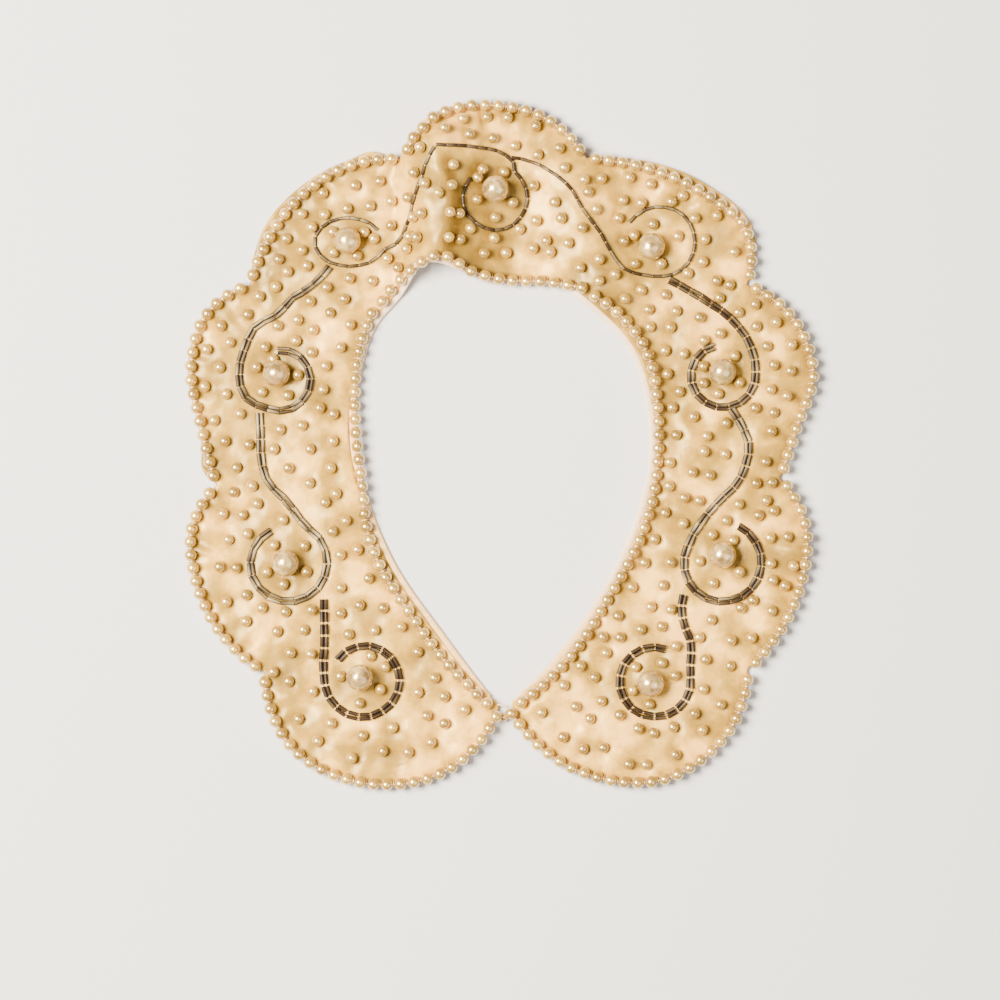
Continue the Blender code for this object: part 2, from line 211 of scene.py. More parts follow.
# Each scallop's edge pearls pass its notch, rise, crest and fall, clockwise from the left front end
Scallop = namedtuple("Scallop", "name notch rise crest fall neck neck_mid hem")
SCALLOPS = (
    Scallop("front_left", (-2.2, -83.9), (-18.6, -101.2), (-42.5, -104.6), (-64.5, -94.4),
            (-1.2, -80.6), (-18.0, -58.6), 0.0),
    Scallop("low_left", (-74.1, -70.1), (-87.7, -57.8), (-94.9, -42.6), (-96.4, -25.9),
            (-34.0, -35.2), (-41.8, -16.0), 0.3),
    Scallop("high_left", (-88.8, -12.4), (-93.6, 6.4), (-96.7, 24.0), (-92.1, 40.1),
            (-45.8, 4.8), (-43.9, 21.9), 0.4),
    Scallop("back_left", (-78.4, 49.8), (-71.6, 65.6), (-61.4, 78.3), (-47.4, 86.6),
            (-39.1, 36.7), (-30.7, 46.7), 1.6),
    Scallop("back", (-31.3, 88.5), (-19.8, 101.8), (-3.4, 105.2), (12.7, 101.5),
            (-24.5, 55.6), (-4.0, 50.1), 0.2),
    Scallop("back_right", (25.4, 88.8), (44.6, 85.7), (61.7, 78.3), (75.3, 66.5),
            (18.3, 48.5), (29.5, 40.1), 2.4),
    Scallop("high_right", (75.6, 49.8), (90.5, 38.3), (96.1, 22.2), (91.1, 6.0),
            (38.8, 29.6), (44.3, 12.6), 0.4),
    Scallop("low_right", (85.9, -10.1), (93.9, -26.2), (92.4, -42.6), (85.6, -57.8),
            (45.0, -5.1), (40.6, -23.1), 0.3),
    Scallop("front_right", (75.9, -69.3), (72.2, -84.6), (50.5, -103.2), (22.0, -100.2),
            (32.9, -40.5), (19.2, -61.8), 0.0),
)
LAST_NOTCH = (2.6, -83.0)
LAST_NECK = (2.9, -79.2)

# The strings round the neckline, between two shares of its length, and how far in each sits on its way
NeckString = namedtuple("NeckString", "name begins ends insets")
NECK_STRINGS = (
    NeckString("neck_left", 0.0085, 0.381, (2.5, 4.3, 5.1, 4.6, 4.6, 3.5, 0.6, -0.4, 0.6, 2.2, 3.6)),
    NeckString("neck_back", 0.394, 0.583, (3.6, 2.9, 2.4, 1.6, 1.4, 0.8, 3.2)),
    NeckString("neck_right", 0.596, 0.9945, (3.6, 5.0, 4.7, 3.3, 2.8, 3.3, 3.6, 3.2, 2.9, 3.4, 3.1, 2.0)),
)

# The two soft folds at the back, which fall away over left and right and fade out over run_out
Fold = namedtuple("Fold", "outer neck height left right run_out")
FOLDS = (
    Fold((-21.7, 92.8), (-20.5, 52.0), 9.0, 14.0, 24.0, 16.0),
    Fold((21.4, 82.9), (31.3, 52.5), 3.5, 18.0, 12.0, 15.0),
)

# Each vine has a stem, then a curl whose radius goes from first to last as it sweeps on from an angle
Vine = namedtuple("Vine", "name rows stem curl first last angle sweep flat pearl")
VINES = (
    Vine("front_left", 2, ((-55.5, -47.3), (-55.4, -61.0)),
         (-43.1, -72.4), 12.4, 10.0, 180, 325, 1.0, (-44.3, -71.8)),
    Vine("low_left", 2, ((-75.5, 10.2), (-75.1, 1.7), (-74.7, -6.0), (-72.7, -11.6), (-67.4, -16.8)),
         (-66.8, -36.4), 12.6, 11.2, 62, -306, 1.0, (-67.3, -36.4)),
    Vine("high_left", 2, ((-53.6, 55.4), (-59.2, 49.4), (-65.4, 45.5), (-69.2, 41.2), (-76.6, 36.8),
                          (-79.9, 30.6), (-81.8, 23.4), (-81.0, 17.2), (-78.2, 13.4)),
         (-69.0, 20.4), 9.8, 9.1, 240, 216, 1.0, (-70.0, 22.3)),
    Vine("back_left", 1, ((-21.1, 92.1), (-25.7, 82.3), (-30.4, 69.3), (-33.5, 62.5)),
         (-47.7, 63.1), 11.2, 10.4, -22, -308, 0.7, (-48.1, 63.4)),
    Vine("back", 1, ((-20.8, 92.5), (-10.2, 92.2), (-1.2, 91.0), (2.9, 88.2)),
         (-2.6, 76.4), 10.3, 9.3, 52, -275, 1.0, (-2.2, 79.2)),
    Vine("back_right", 1, ((2.4, 89.1), (8.6, 88.0), (15.5, 84.2), (20.7, 79.9), (24.2, 73.6),
                           (30.7, 65.0), (34.3, 58.7), (37.2, 54.7), (42.5, 52.9)),
         (48.7, 62.8), 10.4, 11.4, -93, 241, 1.0, (45.9, 61.5)),
    Vine("high_right", 2, ((51.2, 51.4), (56.4, 48.6), (62.6, 45.0), (71.9, 38.0), (76.6, 31.0)),
         (67.6, 21.9), 10.8, 9.0, 12, -270, 1.0, (67.9, 22.8)),
    Vine("low_right", 2, ((70.6, 11.3), (73.7, 6.5), (75.8, 1.6), (73.5, -10.1), (65.1, -19.1),
                          (58.0, -29.3)),
         (67.6, -36.4), 11.6, 12.6, 170, 256, 1.0, (67.9, -33.9)),
    Vine("front_right", 2, ((56.0, -45.9), (55.2, -50.4), (55.7, -54.4), (58.0, -60.5)),
         (46.8, -73.0), 11.4, 10.5, 14, -305, 1.0, (45.6, -73.6)),
)

# The bugle beads of each vine: pitch, the joint left open between two, radius, and how much silver shows
# at the vine's start and at its end, partly the beads' own silver and partly painted reflection of the
# lamp
Bugles = namedtuple("Bugles", "pitch joint radius silver")
BUGLES = {
    "front_left": Bugles(3.8, 0.75, 0.62, (-0.25, -0.15)),
    "low_left": Bugles(4.2, 0.30, 0.60, (0.95, 0.60)),
    "high_left": Bugles(3.8, 0.30, 0.58, (0.75, 0.25)),
    "back_left": Bugles(3.2, 0.40, 0.55, (0.40, 0.45)),
    "back": Bugles(3.2, 0.40, 0.58, (0.10, -0.05)),
    "back_right": Bugles(3.2, 0.40, 0.55, (0.25, 0.40)),
    "high_right": Bugles(3.8, 0.60, 0.62, (0.10, 0.40)),
    "low_right": Bugles(3.9, 0.45, 0.62, (0.85, 0.15)),
    "front_right": Bugles(3.8, 0.75, 0.62, (0.15, -0.10)),
}

# Where the small pearls sit, read off the photograph in its picture points, right and down from
# its top left corner, and the picture point and scale that take them to the collar's own millimetres
PICTURE_MIDDLE = (503.0, 445.5)
MM_PER_POINT = 0.31
SMALL_PEARLS = {
    "back": (
        (444.5, 131), (470, 135.5), (492.5, 139), (514.5, 146), (537, 154.5), (559, 148.5), (536, 125.5),
        (507.5, 118), (486.5, 118), (460.5, 115.5), (564, 168.5), (420, 148.5), (412.5, 174), (424, 184.5),
        (454.5, 166.5), (439, 194.5), (452, 187), (484, 170), (504.5, 172.5), (476, 178.5), (531, 186.5),
        (405.5, 198.5), (409.5, 214.5), (420.5, 214.5), (478, 200.5), (513, 203), (450, 214), (460.5, 215),
        (496, 218), (554, 203), (560.5, 219), (535.5, 221), (519.5, 229.5), (472.5, 229), (581.5, 228.5),
        (545.5, 241), (449, 239), (462.5, 240.5), (494.5, 238.5), (404.5, 236), (415.5, 238.5),
        (403.5, 249.5), (484.5, 254), (506.5, 253), (533, 248.5), (549.5, 252.5), (567.5, 243.5),
        (579, 268.5),
    ),
    "back_left": (
        (355, 186), (379.5, 181.5), (321.5, 192), (391, 201.5), (347, 209), (370, 206.5), (302, 214.5),
        (324.5, 215), (312, 227.5), (390.5, 225.5), (364.5, 232.5), (374, 239), (336, 234), (333.5, 253),
        (355, 253), (286.5, 239), (302, 250.5), (279, 259.5), (307, 266), (287.5, 272),
        (276, 287), (259.5, 296.5), (349.5, 278.5), (372, 281), (326.5, 287.5), (344.5, 299), (330, 313),
        (310, 301.5), (297.5, 320), (277.5, 326), (313, 330), (350, 325), (387, 258.5), (397, 268),
    ),
    "high_left": (
        (247.5, 314.5), (221, 326), (230, 342.5), (207, 349.5), (296, 341), (312, 352.5), (340.5, 347.5),
        (265, 347), (275, 357.5), (256.5, 367.5), (298, 375), (262, 392), (288, 395.5), (325.5, 366),
        (323, 389.5), (220, 367.5), (205, 386.5), (226.5, 394), (320, 408), (333.5, 414), (240.5, 414),
        (214.5, 420.5), (302, 425.5), (280, 429.5), (333, 441), (225, 441), (249, 444.5), (274, 449),
        (310, 449),
    ),
    "low_left": (
        (236.5, 467.5), (288.5, 468), (331, 468), (309.5, 483), (252.5, 486), (234, 492), (336, 493.5),
        (325, 502), (257.5, 503.5), (223, 513.5), (242.5, 514.5), (283, 519.5), (346, 520.5), (332.5, 531),
        (247.5, 533.5), (228.5, 539.5), (274, 545), (304.5, 545.5), (340.5, 554.5), (357.5, 549.5),
        (219.5, 566.5), (236, 567.5), (267, 572), (306.5, 571.5), (283.5, 584), (340.5, 587.5),
        (246.5, 594.5), (226.5, 601.5), (262, 607.5), (285.5, 611.5), (311.5, 609.5), (340.5, 613),
        (359.5, 605), (368.5, 578), (246, 621), (277, 631), (304, 629.5),
    ),
    "front_left": (
        (348.5, 634), (374.5, 630), (401, 626.5), (290.5, 652.5), (311, 653.5), (417.5, 651.5), (371, 655),
        (385.5, 666.5), (340.5, 676), (289, 681), (380.5, 689), (434.5, 677.5), (313, 691), (418, 692),
        (359.5, 702.5), (444, 696), (426.5, 715), (298.5, 718.5), (331, 722.5), (444.5, 723), (392.5, 727),
        (362.5, 735), (318, 740.5), (431, 742), (383, 750.5), (408, 751.5), (352, 757.5), (383, 607.5),
        (464.5, 709), (273.5, 671.5),
    ),
    "back_right": (
        (584, 180.5), (600.5, 179.5), (629, 178), (650, 184.5), (588, 192.5), (622.5, 200.5), (641, 203.5),
        (670.5, 205), (682.5, 196), (693, 219), (716.5, 216), (596, 210), (618.5, 218.5), (652.5, 224.5),
        (677.5, 236.5), (634, 235.5), (623.5, 241.5), (704.5, 239.5), (733.5, 252), (599, 260), (635, 264),
        (661, 264), (702, 262), (614.5, 275), (687.5, 273.5), (598.5, 281.5), (716, 281), (729, 285),
        (640.5, 290.5), (665, 295), (624.5, 299), (719, 298), (648, 309.5), (675.5, 311.5), (699, 317.5),
        (649.5, 327), (670, 327.5),
    ),
    "high_right": (
        (754.5, 304.5), (737.5, 313), (755.5, 326.5), (775.5, 322.5), (719.5, 333.5), (704, 341),
        (791, 345), (766, 346.5), (664.5, 350.5), (683, 354), (734.5, 356), (703, 366.5), (773, 365),
        (790, 371),
        (667, 374), (739, 382.5), (703, 383), (717.5, 394), (770, 389.5), (786, 396), (679, 391.5),
        (754.5, 408), (672, 407.5), (773, 412.5), (693, 416.5), (725.5, 423), (771, 431), (675.5, 435),
        (706, 436), (703.5, 451.5), (724.5, 454), (669.5, 462.5), (765, 461.5),
    ),
    "low_right": (
        (691.5, 472), (709, 475), (755.5, 483), (771, 482.5), (668.5, 486), (683.5, 497.5), (698.5, 500.5),
        (738, 504), (765.5, 500.5), (773, 510.5), (758, 515), (664.5, 512.5), (683, 523.5), (725.5, 520.5),
        (711.5, 534.5), (732.5, 540), (769.5, 537.5), (787, 536.5), (654, 539), (699, 561), (670, 562),
        (644, 562.5), (739, 571.5), (769, 563), (793, 566), (712.5, 583), (662.5, 585), (772, 580),
        (784.5, 585.5), (751, 598.5), (740, 607.5), (650.5, 606.5), (670, 609), (771, 610.5),
        (710.5, 619.5), (661, 626), (640.5, 629), (631.5, 587),
    ),
    "front_right": (
        (617.5, 615.5), (619.5, 637), (602.5, 636.5), (698.5, 637), (730.5, 640), (751, 637.5),
        (675, 645.5), (605.5, 652.5), (705, 659), (580, 665.5), (635, 666.5), (661.5, 662.5),
        (729.5, 665.5), (594, 677), (674.5, 675), (632.5, 690), (702.5, 688.5), (563.5, 685),
        (601, 700.5), (649, 704), (575, 706), (720, 704), (694, 713), (619, 714.5), (589.5, 718),
        (541, 712), (673, 726.5), (702, 729.5), (637.5, 728), (653, 732.5), (562.5, 736.5), (675, 754),
        (583, 748.5), (603, 747), (628, 763.5), (645.5, 764),
    ),
}

# Where the cloth's edge stands out past the pearls: the scallop, the share of the way along it, the
# share over which that fades, and how far
Margin = namedtuple("Margin", "scallop share reach width")
MARGINS = (
    Margin("back_left", 0.28, 0.16, 1.3),
    Margin("back_left", 0.86, 0.07, 1.6),
    Margin("high_left", 0.08, 0.08, 2.2),
    Margin("front_left", 0.97, 0.04, 1.2),
)

# Soft troughs and ridges in the laid cloth, from start to end. A ridge has a positive height.
Crease = namedtuple("Crease", "start end height width")
CREASES = [Crease(*row) for row in (
    ((-21.5, 91), (-21, 58), 0.9, 2.6), ((-16.5, 88), (-15.5, 58), -0.7, 3.0),
    ((-78, 60), (-52, 46), 0.5, 5.0), ((-30, 78), (-44, 50), -0.6, 5.0),
    ((-60, 86), (-38, 76), 0.5, 4.5), ((-24, 99), (10, 96), 0.7, 5.0),
    ((10, 92), (2, 60), -0.5, 6.0), ((35, 62), (22, 53), -0.5, 3.6),
    ((28, 78), (44, 84), 0.5, 5.0), ((36, 50), (60, 42), 0.6, 5.0),
    ((48, 34), (54, 8), -0.5, 7.0), ((60, 6), (56, -16), 0.6, 6.0),
    ((80, 44), (84, 12), 0.5, 5.0), ((74, -48), (50, -52), 0.4, 6.0),
    ((60, -88), (24, -86), 0.5, 6.0), ((-58, -88), (-26, -90), 0.5, 6.0),
    ((-30, -80), (-24, -62), -0.4, 5.0), ((-82, -54), (-58, -56), 0.4, 6.0),
    ((-86, -22), (-80, -48), -0.4, 6.0), ((-58, -8), (-52, -30), 0.5, 6.0),
    ((-60, 8), (-52, 34), 0.4, 6.0), ((-86, 34), (-86, 6), 0.4, 5.0),
)]

# Where the satin has gone most golden, and where it has stayed pale, which is a negative amount. The
# golden patches on the back-left fold's right flank, from (-17, 84) to (-8, 58), and from (25, 55) to (33,
# 42), are partly stain and partly painted shade of the folds; the pale ones at (-26, 74) and (9, 72) are
# painted light on slopes that face the lamp.
StainAndShade = namedtuple("StainAndShade", "place radius amount")
STAINS_AND_FOLD_SHADE = [StainAndShade(*row) for row in (
    ((-3, 79), 11, 0.55), ((-17, 84), 7, 0.40), ((-16.5, 75), 8, 0.50), ((-15, 65), 8, 0.45),
    ((-8, 58), 8, 0.35), ((-8, 98), 11, -0.30), ((15, 98), 6, 0.15), ((28, 50), 7, 0.50),
    ((25, 55), 5, 0.40), ((33, 42), 6, 0.45), ((46, 64), 10, 0.40), ((77, 62), 7, 0.35),
    ((65, 22), 9, 0.35), ((96, 23), 7, 0.35), ((45, 27), 7, 0.35), ((47, 13), 7, 0.40),
    ((87, -5), 8, 0.45), ((95, -32), 7, 0.35), ((65, -33), 9, 0.40), ((45, -18), 7, 0.30),
    ((80, -66), 9, 0.40), ((71, -88), 8, 0.35), ((45, -72), 9, 0.35), ((32, -47), 6, 0.25),
    ((45, -105), 6, 0.25), ((-38, -104), 6, 0.25), ((-44, -72), 9, 0.35), ((-65, -90), 8, 0.35),
    ((-71, -72), 8, 0.45), ((-88, -59), 7, 0.35), ((-96, -30), 7, 0.40), ((-69, -35), 10, 0.40),
    ((-88, -6), 9, 0.50), ((-95, 23), 8, 0.40), ((-69, 22), 10, 0.55), ((-76, 52), 8, 0.50),
    ((-72, 62), 9, 0.45), ((-64, 66), 16, 0.20), ((-82, 30), 12, 0.15), ((-61, 79), 7, 0.30),
    ((-50, 65), 9, 0.30), ((-45, 27), 6, 0.30), ((-43, -6), 6, 0.30), ((-32, -39), 5, 0.25),
    ((-3, 53), 8, 0.30), ((-26, 74), 7, -0.45), ((-42, 50), 8, -0.30), ((9, 72), 9, -0.30),
    ((-62, 38), 8, -0.20), ((58, 36), 9, -0.30), ((66, -12), 8, -0.30), ((-14, -86), 12, -0.30),
    ((18, -84), 12, -0.30), ((74, -50), 9, -0.25), ((52, -56), 16, -0.20), ((44, -92), 14, -0.20),
)]


def smooth_line(points, per_gap=LINE_STEPS):
    """Points along a curve that passes through the given ones and bends evenly between them."""
    given = np.array(points, dtype=float)
    gaps = np.linalg.norm(np.diff(given, axis=0), axis=1)
    slopes = np.diff(given, axis=0) / gaps[:, None]
    before, after = gaps[:-1, None], gaps[1:, None]
    middle = (slopes[:-1] * after + slopes[1:] * before) / (before + after)
    tangents = np.vstack([2 * slopes[0] - middle[0], middle, 2 * slopes[-1] - middle[-1]])
    line = []
    for index, gap in enumerate(gaps):
        for step in range(per_gap):
            t = step / per_gap
            line.append(
                (2 * t**3 - 3 * t**2 + 1) * given[index]
                + (t**3 - 2 * t**2 + t) * gap * tangents[index]
                + (3 * t**2 - 2 * t**3) * given[index + 1]
                + (t**3 - t**2) * gap * tangents[index + 1]
            )
    line.append(given[-1])
    return np.array(line)


def lengths_along(line):
    """The distance of each point of a line from its start."""
    steps = np.linalg.norm(np.diff(line, axis=0), axis=1)
    return np.concatenate([[0.0], np.cumsum(steps)])


def at_lengths(line, wanted, values=None):
    """The points of a line at the given distances from its start, or the values that go with them."""
    along = lengths_along(line)
    values = line if values is None else values
    return np.column_stack([np.interp(wanted, along, values[:, axis]) for axis in range(values.shape[1])])


def sideways(line):
    """Unit vectors to the left of each point's direction of travel."""
    travel = np.gradient(line, axis=0)
    left = np.column_stack([-travel[:, 1], travel[:, 0]])
    return left / np.linalg.norm(left, axis=1)[:, None]


def ease(share):
    """0 to 1 with a soft start and end."""
    share = np.clip(share, 0.0, 1.0)
    return share * share * (3 - 2 * share)


def from_line(plan, start, end):
    """How far the plan points are along a line, how far they are to its left, and its length."""
    start = np.array(start)
    run = np.array(end) - start
    length = float(np.hypot(*run))
    travel = run / length
    offset = plan - start
    along = offset @ travel
    across = offset[:, 1] * travel[0] - offset[:, 0] * travel[1]
    return along, across, length


def lift(plan):
    """The height of the cloth's underside over the table, at points seen from above."""
    height = np.zeros(len(plan))
    for fold in FOLDS:
        along, across, length = from_line(plan, fold.outer, fold.neck)
        width = np.where(across > 0, fold.right, fold.left)
        past_end = np.maximum(0.0, np.maximum(-along, along - length))
        fade = 0.5 + 0.5 * np.cos(np.pi * np.minimum(1.0, past_end / fold.run_out))
        height += fold.height * fade * (0.5 + 0.5 * np.cos(np.pi * np.clip(across / width, -1.0, 1.0)))
    return height


def cloth_normals(plan):
    """The directions straight out of the cloth."""
    reach_x = np.array([SLOPE_REACH, 0.0])
    reach_y = np.array([0.0, SLOPE_REACH])
    slope_x = (lift(plan + reach_x) - lift(plan - reach_x)) / (2 * SLOPE_REACH)
    slope_y = (lift(plan + reach_y) - lift(plan - reach_y)) / (2 * SLOPE_REACH)
    normals = np.column_stack([-slope_x, -slope_y, np.ones(len(plan))])
    return normals / np.linalg.norm(normals, axis=1)[:, None]


def above_underside(plan, height):
    """The points at a height over the underside, straight out of the cloth."""
    return np.column_stack([plan, lift(plan)]) + np.asarray(height)[..., None] * cloth_normals(plan)


def seat(seen, height):
    """The plan points whose cloth carries something that is seen at the given points from above."""
    plan = np.array(seen, dtype=float)
    for _ in range(SEATING_ROUNDS):
        plan = seen - (WALL + height) * cloth_normals(plan)[:, :2]
    return plan


def neckline():
    """The inner edge of the cloth."""
    points = []
    for scallop in SCALLOPS:
        points.extend((scallop.neck, scallop.neck_mid))
    points.append(LAST_NECK)
    return smooth_line(points, NECK_STEPS)


def facing_share(distance, length):
    """How much of the facing's width the panel leaves free, at distances along the neckline."""
    from_end = np.minimum(distance, length - distance)
    return ease((from_end - PANEL_CLEARS_FROM) / (PANEL_CLEARS_BY - PANEL_CLEARS_FROM))


def scallop_line(index):
    """The line of edge pearls round one scallop."""
    row = SCALLOPS[index]
    after = SCALLOPS[index + 1].notch if index + 1 < len(SCALLOPS) else LAST_NOTCH
    return smooth_line((row.notch, row.rise, row.crest, row.fall, after))


def collar_edges():
    """The inner and outer edge of the panel, from the left front end round to the right."""
    neck = neckline()
    neck_along = lengths_along(neck)
    outward = sideways(neck)
    inner_edge, outer_edge = [], []
    for index, row in enumerate(SCALLOPS):
        line = scallop_line(index)
        last = index == len(SCALLOPS) - 1
        shares = np.arange(PANEL_STEPS + (1 if last else 0)) / PANEL_STEPS
        distances = np.interp((index + shares) * 2 * NECK_STEPS, np.arange(len(neck)), neck_along)
        inset = facing_share(distances, neck_along[-1]) * (FACING_WIDTH + SEAM_GAP)
        inner = at_lengths(neck, distances)
        inner_edge.append(inner + inset[:, None] * at_lengths(neck, distances, outward))
        wanted = shares * lengths_along(line)[-1]
        from_notch = np.minimum(shares, 1 - shares)
        hem = HEM_PAST_PEARLS * ease(from_notch / HEM_EASE) + row.hem * np.sin(np.pi * shares)
        for margin in MARGINS:
            if margin.scallop == row.name:
                bulge = np.exp(-(((shares - margin.share) / margin.reach) ** 2))
                hem += margin.width * bulge * ease(from_notch / MARGIN_EASE)
        outer = at_lengths(line, wanted)
        outer_edge.append(outer + hem[:, None] * at_lengths(line, wanted, sideways(line)))
    return np.vstack(inner_edge), np.vstack(outer_edge)


def string_places():
    """Where each string's pearls are seen from above, by the name of the string's node."""
    places = {}
    for index, row in enumerate(SCALLOPS):
        line = scallop_line(index)
        first = FRONT_STRING_END if index == 0 else STRING_END
        last = FRONT_STRING_END if index == len(SCALLOPS) - 1 else STRING_END
        kept = at_lengths(line, np.linspace(first, lengths_along(line)[-1] - last, len(line)))
        places[f"pearl_edge_{row.name}"] = spread_along(kept, PEARL_PITCH)
    neck = neckline()
    outward = sideways(neck)
    for row in NECK_STRINGS:
        wanted = np.linspace(row.begins, row.ends, len(row.insets)) * lengths_along(neck)[-1]
        inset = np.array(row.insets)[:, None]
        line = smooth_line(at_lengths(neck, wanted) + inset * at_lengths(neck, wanted, outward))
        places[f"pearl_{row.name}"] = spread_along(line, PEARL_PITCH)
    return places


def spread_along(line, pitch):
    """Points at an even pitch from end to end of a line."""
    length = lengths_along(line)[-1]
    return at_lengths(line, np.linspace(0, length, round(length / pitch) + 1))


def vine_line(vine):
    """The middle of a vine, along its stem and round its curl."""
    points = list(vine.stem)
    for step in range(CURL_STEPS + 1):
        share = step / CURL_STEPS
        angle = math.radians(vine.angle + vine.sweep * share)
        radius = vine.first + (vine.last - vine.first) * share
        points.append((
            vine.curl[0] + radius * math.cos(angle),
            vine.curl[1] + radius * vine.flat * math.sin(angle),
        ))
    return smooth_line(points, VINE_STEPS)


def small_pearl_places():
    """Where the small pearls are seen from above."""
    points = np.array([point for group in SMALL_PEARLS.values() for point in group])
    return (points - PICTURE_MIDDLE) * (MM_PER_POINT, -MM_PER_POINT)


def nearest(plan, points):
    """The distance from each plan point to the nearest of some others, and which of them that is."""
    tree = kdtree.KDTree(len(points))
    for index, (x, y) in enumerate(points):
        tree.insert((x, y, 0.0), index)
    tree.balance()
    found = [tree.find((x, y, 0.0)) for x, y in plan]
    return np.array([distance for _, _, distance in found]), np.array([index for _, index, _ in found])


def moved_clear(plan, points, least):
    """The plan points, each moved straight away from the nearest of some others until it clears it."""
    gaps, places = nearest(plan, points)
    away = (plan - points[places]) / gaps[:, None]
    return plan + np.maximum(0.0, least - gaps)[:, None] * away


def clouds(plan, size, layer):
    """A soft random value at each plan point, between -1 and 1."""
    return np.array([noise.noise((x / size, y / size, layer)) for x, y in plan])


class Cloth:
    """The satin's relief over its wall, pulled down at each bead and vine and raised between them."""

    def __init__(self, beads, halos, vine_points, edge):
        self.beads = beads
        self.halos = halos
        self.vine_points = vine_points
        self.edge = edge
        self.edge_along = lengths_along(edge)

    def relief(self, plan):
        """How far the face stands over the even wall."""
        height = np.full(len(plan), PUFF)
        for start in range(0, len(plan), POINTS_AT_A_TIME):
            part = slice(start, start + POINTS_AT_A_TIME)
            gaps = np.linalg.norm(plan[part, None] - self.beads[None], axis=2)
            pull = np.exp(-((gaps / DIMPLE_RADIUS) ** 2)).sum(axis=1)
            height[part] -= DIMPLE_DEPTH * np.minimum(DIMPLES_AT_MOST, pull)
        groove = nearest(plan, self.vine_points)[0] / VINE_GROOVE_WIDTH
        height -= VINE_GROOVE_DEPTH * np.exp(-(groove**2))
        for crease in CREASES:
            height += crease_height(crease, plan)
        for size, depth in WRINKLES:
            height += depth * clouds(plan, size, size)
        return height + self.puckers(plan)

    def puckers(self, plan):
        """Short uneven ripples that run in from the outer edge, where its sewing gathers the cloth."""
        gaps, places = nearest(plan, self.edge)
        along = self.edge_along[places]
        sway = clouds(plan, *SWAY_CLOUDS)
        ripple = np.sin(math.tau * along / PUCKER_PITCH + PUCKER_SWAY * sway)
        ripple = ripple * (PUCKER_SHARE + PUCKER_SHARE_STRAY * sway)
        fade = np.exp(-((gaps / PUCKER_REACH) ** 2))
        return PUCKER_HEIGHT * ripple * ease(gaps / PUCKER_SETS_IN) * fade

    def face(self, seen, height):
        """The points at a height over the satin's face that are seen at the given points from above."""
        plan = seat(seen, height)
        return above_underside(plan, WALL + self.relief(plan) + height)

    def age(self, plan):
        """How golden the satin has gone, with painted shade, from 0 to 1: most round the beads and on the
        folds' shaded flanks.
        """
        stain_and_shade_rings = np.zeros(len(plan))
        for start in range(0, len(plan), POINTS_AT_A_TIME):
            part = slice(start, start + POINTS_AT_A_TIME)
            # Rings round the beads: golden stain, and painted shade shifted to each bead's shadow side
            gaps = np.linalg.norm(plan[part, None] - self.beads[None] - RING_SHADE_SHIFT, axis=2)
            stain_and_shade_rings[part] = np.exp(-((gaps / RING_STAIN_AND_SHADE_RADIUS) ** 2)) @ self.halos
        patches = np.zeros(len(plan))
        # Patches of stain, some of them painted shade and painted light on the folds
        for patch in STAINS_AND_FOLD_SHADE:
            gaps = np.linalg.norm(plan - np.array(patch.place), axis=1)
            patches += patch.amount * np.exp(-((gaps / patch.radius) ** 2))
        cloud = CLOUD_STAIN * clouds(plan, *STAIN_CLOUDS)
        return np.clip(stain_and_shade_rings + cloud + patches + LEAST_STAIN, 0.0, 1.0)


def crease_height(crease, plan):
    """The height that one soft trough or ridge gives, bowed to its left and fading at both ends."""
    along, across, length = from_line(plan, crease.start, crease.end)
    bow = CREASE_BOW * length * np.sin(np.pi * np.clip(along / length, 0.0, 1.0))
    reach = CREASE_FADE * length
    fade = ease(along / reach + 0.5) * ease((length - along) / reach + 0.5)
    return CREASE_GAIN * crease.height * fade * np.exp(-(((across - bow) / crease.width) ** 2))


def finished(name, shape, material, smooth=True):
    """Make an object of a bmesh whose points are in metres."""
    bmesh.ops.recalc_face_normals(shape, faces=shape.faces)
    for face in shape.faces:
        face.smooth = smooth
    mesh = bpy.data.meshes.new(name)
    shape.to_mesh(mesh)
    shape.free()
    mesh.materials.append(material)
    item = bpy.data.objects.new(name, mesh)
    bpy.context.collection.objects.link(item)
    return item


def keep(item, slot, *nodes):
    """Let a piece ride on the collar and stand for its nodes. The slot is not used."""
    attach(item, "root")
    if nodes:
        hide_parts(*nodes)


def wall_profile(wall, face_steps):
    """The ring round a wall's section: shares of its width, millimetres past them, and heights."""
    roll = wall / 2
    face = [step / face_steps for step in range(face_steps + 1)]
    back = [1 - step / BACK_STEPS for step in range(BACK_STEPS + 1)]
    turns = [math.pi * step / (2 * ROLL_STEPS) for step in range(1, 2 * ROLL_STEPS)]
    ring = [(share, roll * (1 - 2 * share), wall) for share in face]
    ring += [(1.0, roll * (math.sin(turn) - 1), roll * (1 + math.cos(turn))) for turn in turns]
    ring += [(share, roll * (1 - 2 * share), 0.0) for share in back]
    ring += [(0.0, roll * (1 - math.sin(turn)), roll * (1 - math.cos(turn))) for turn in turns]
    return np.array(ring).T


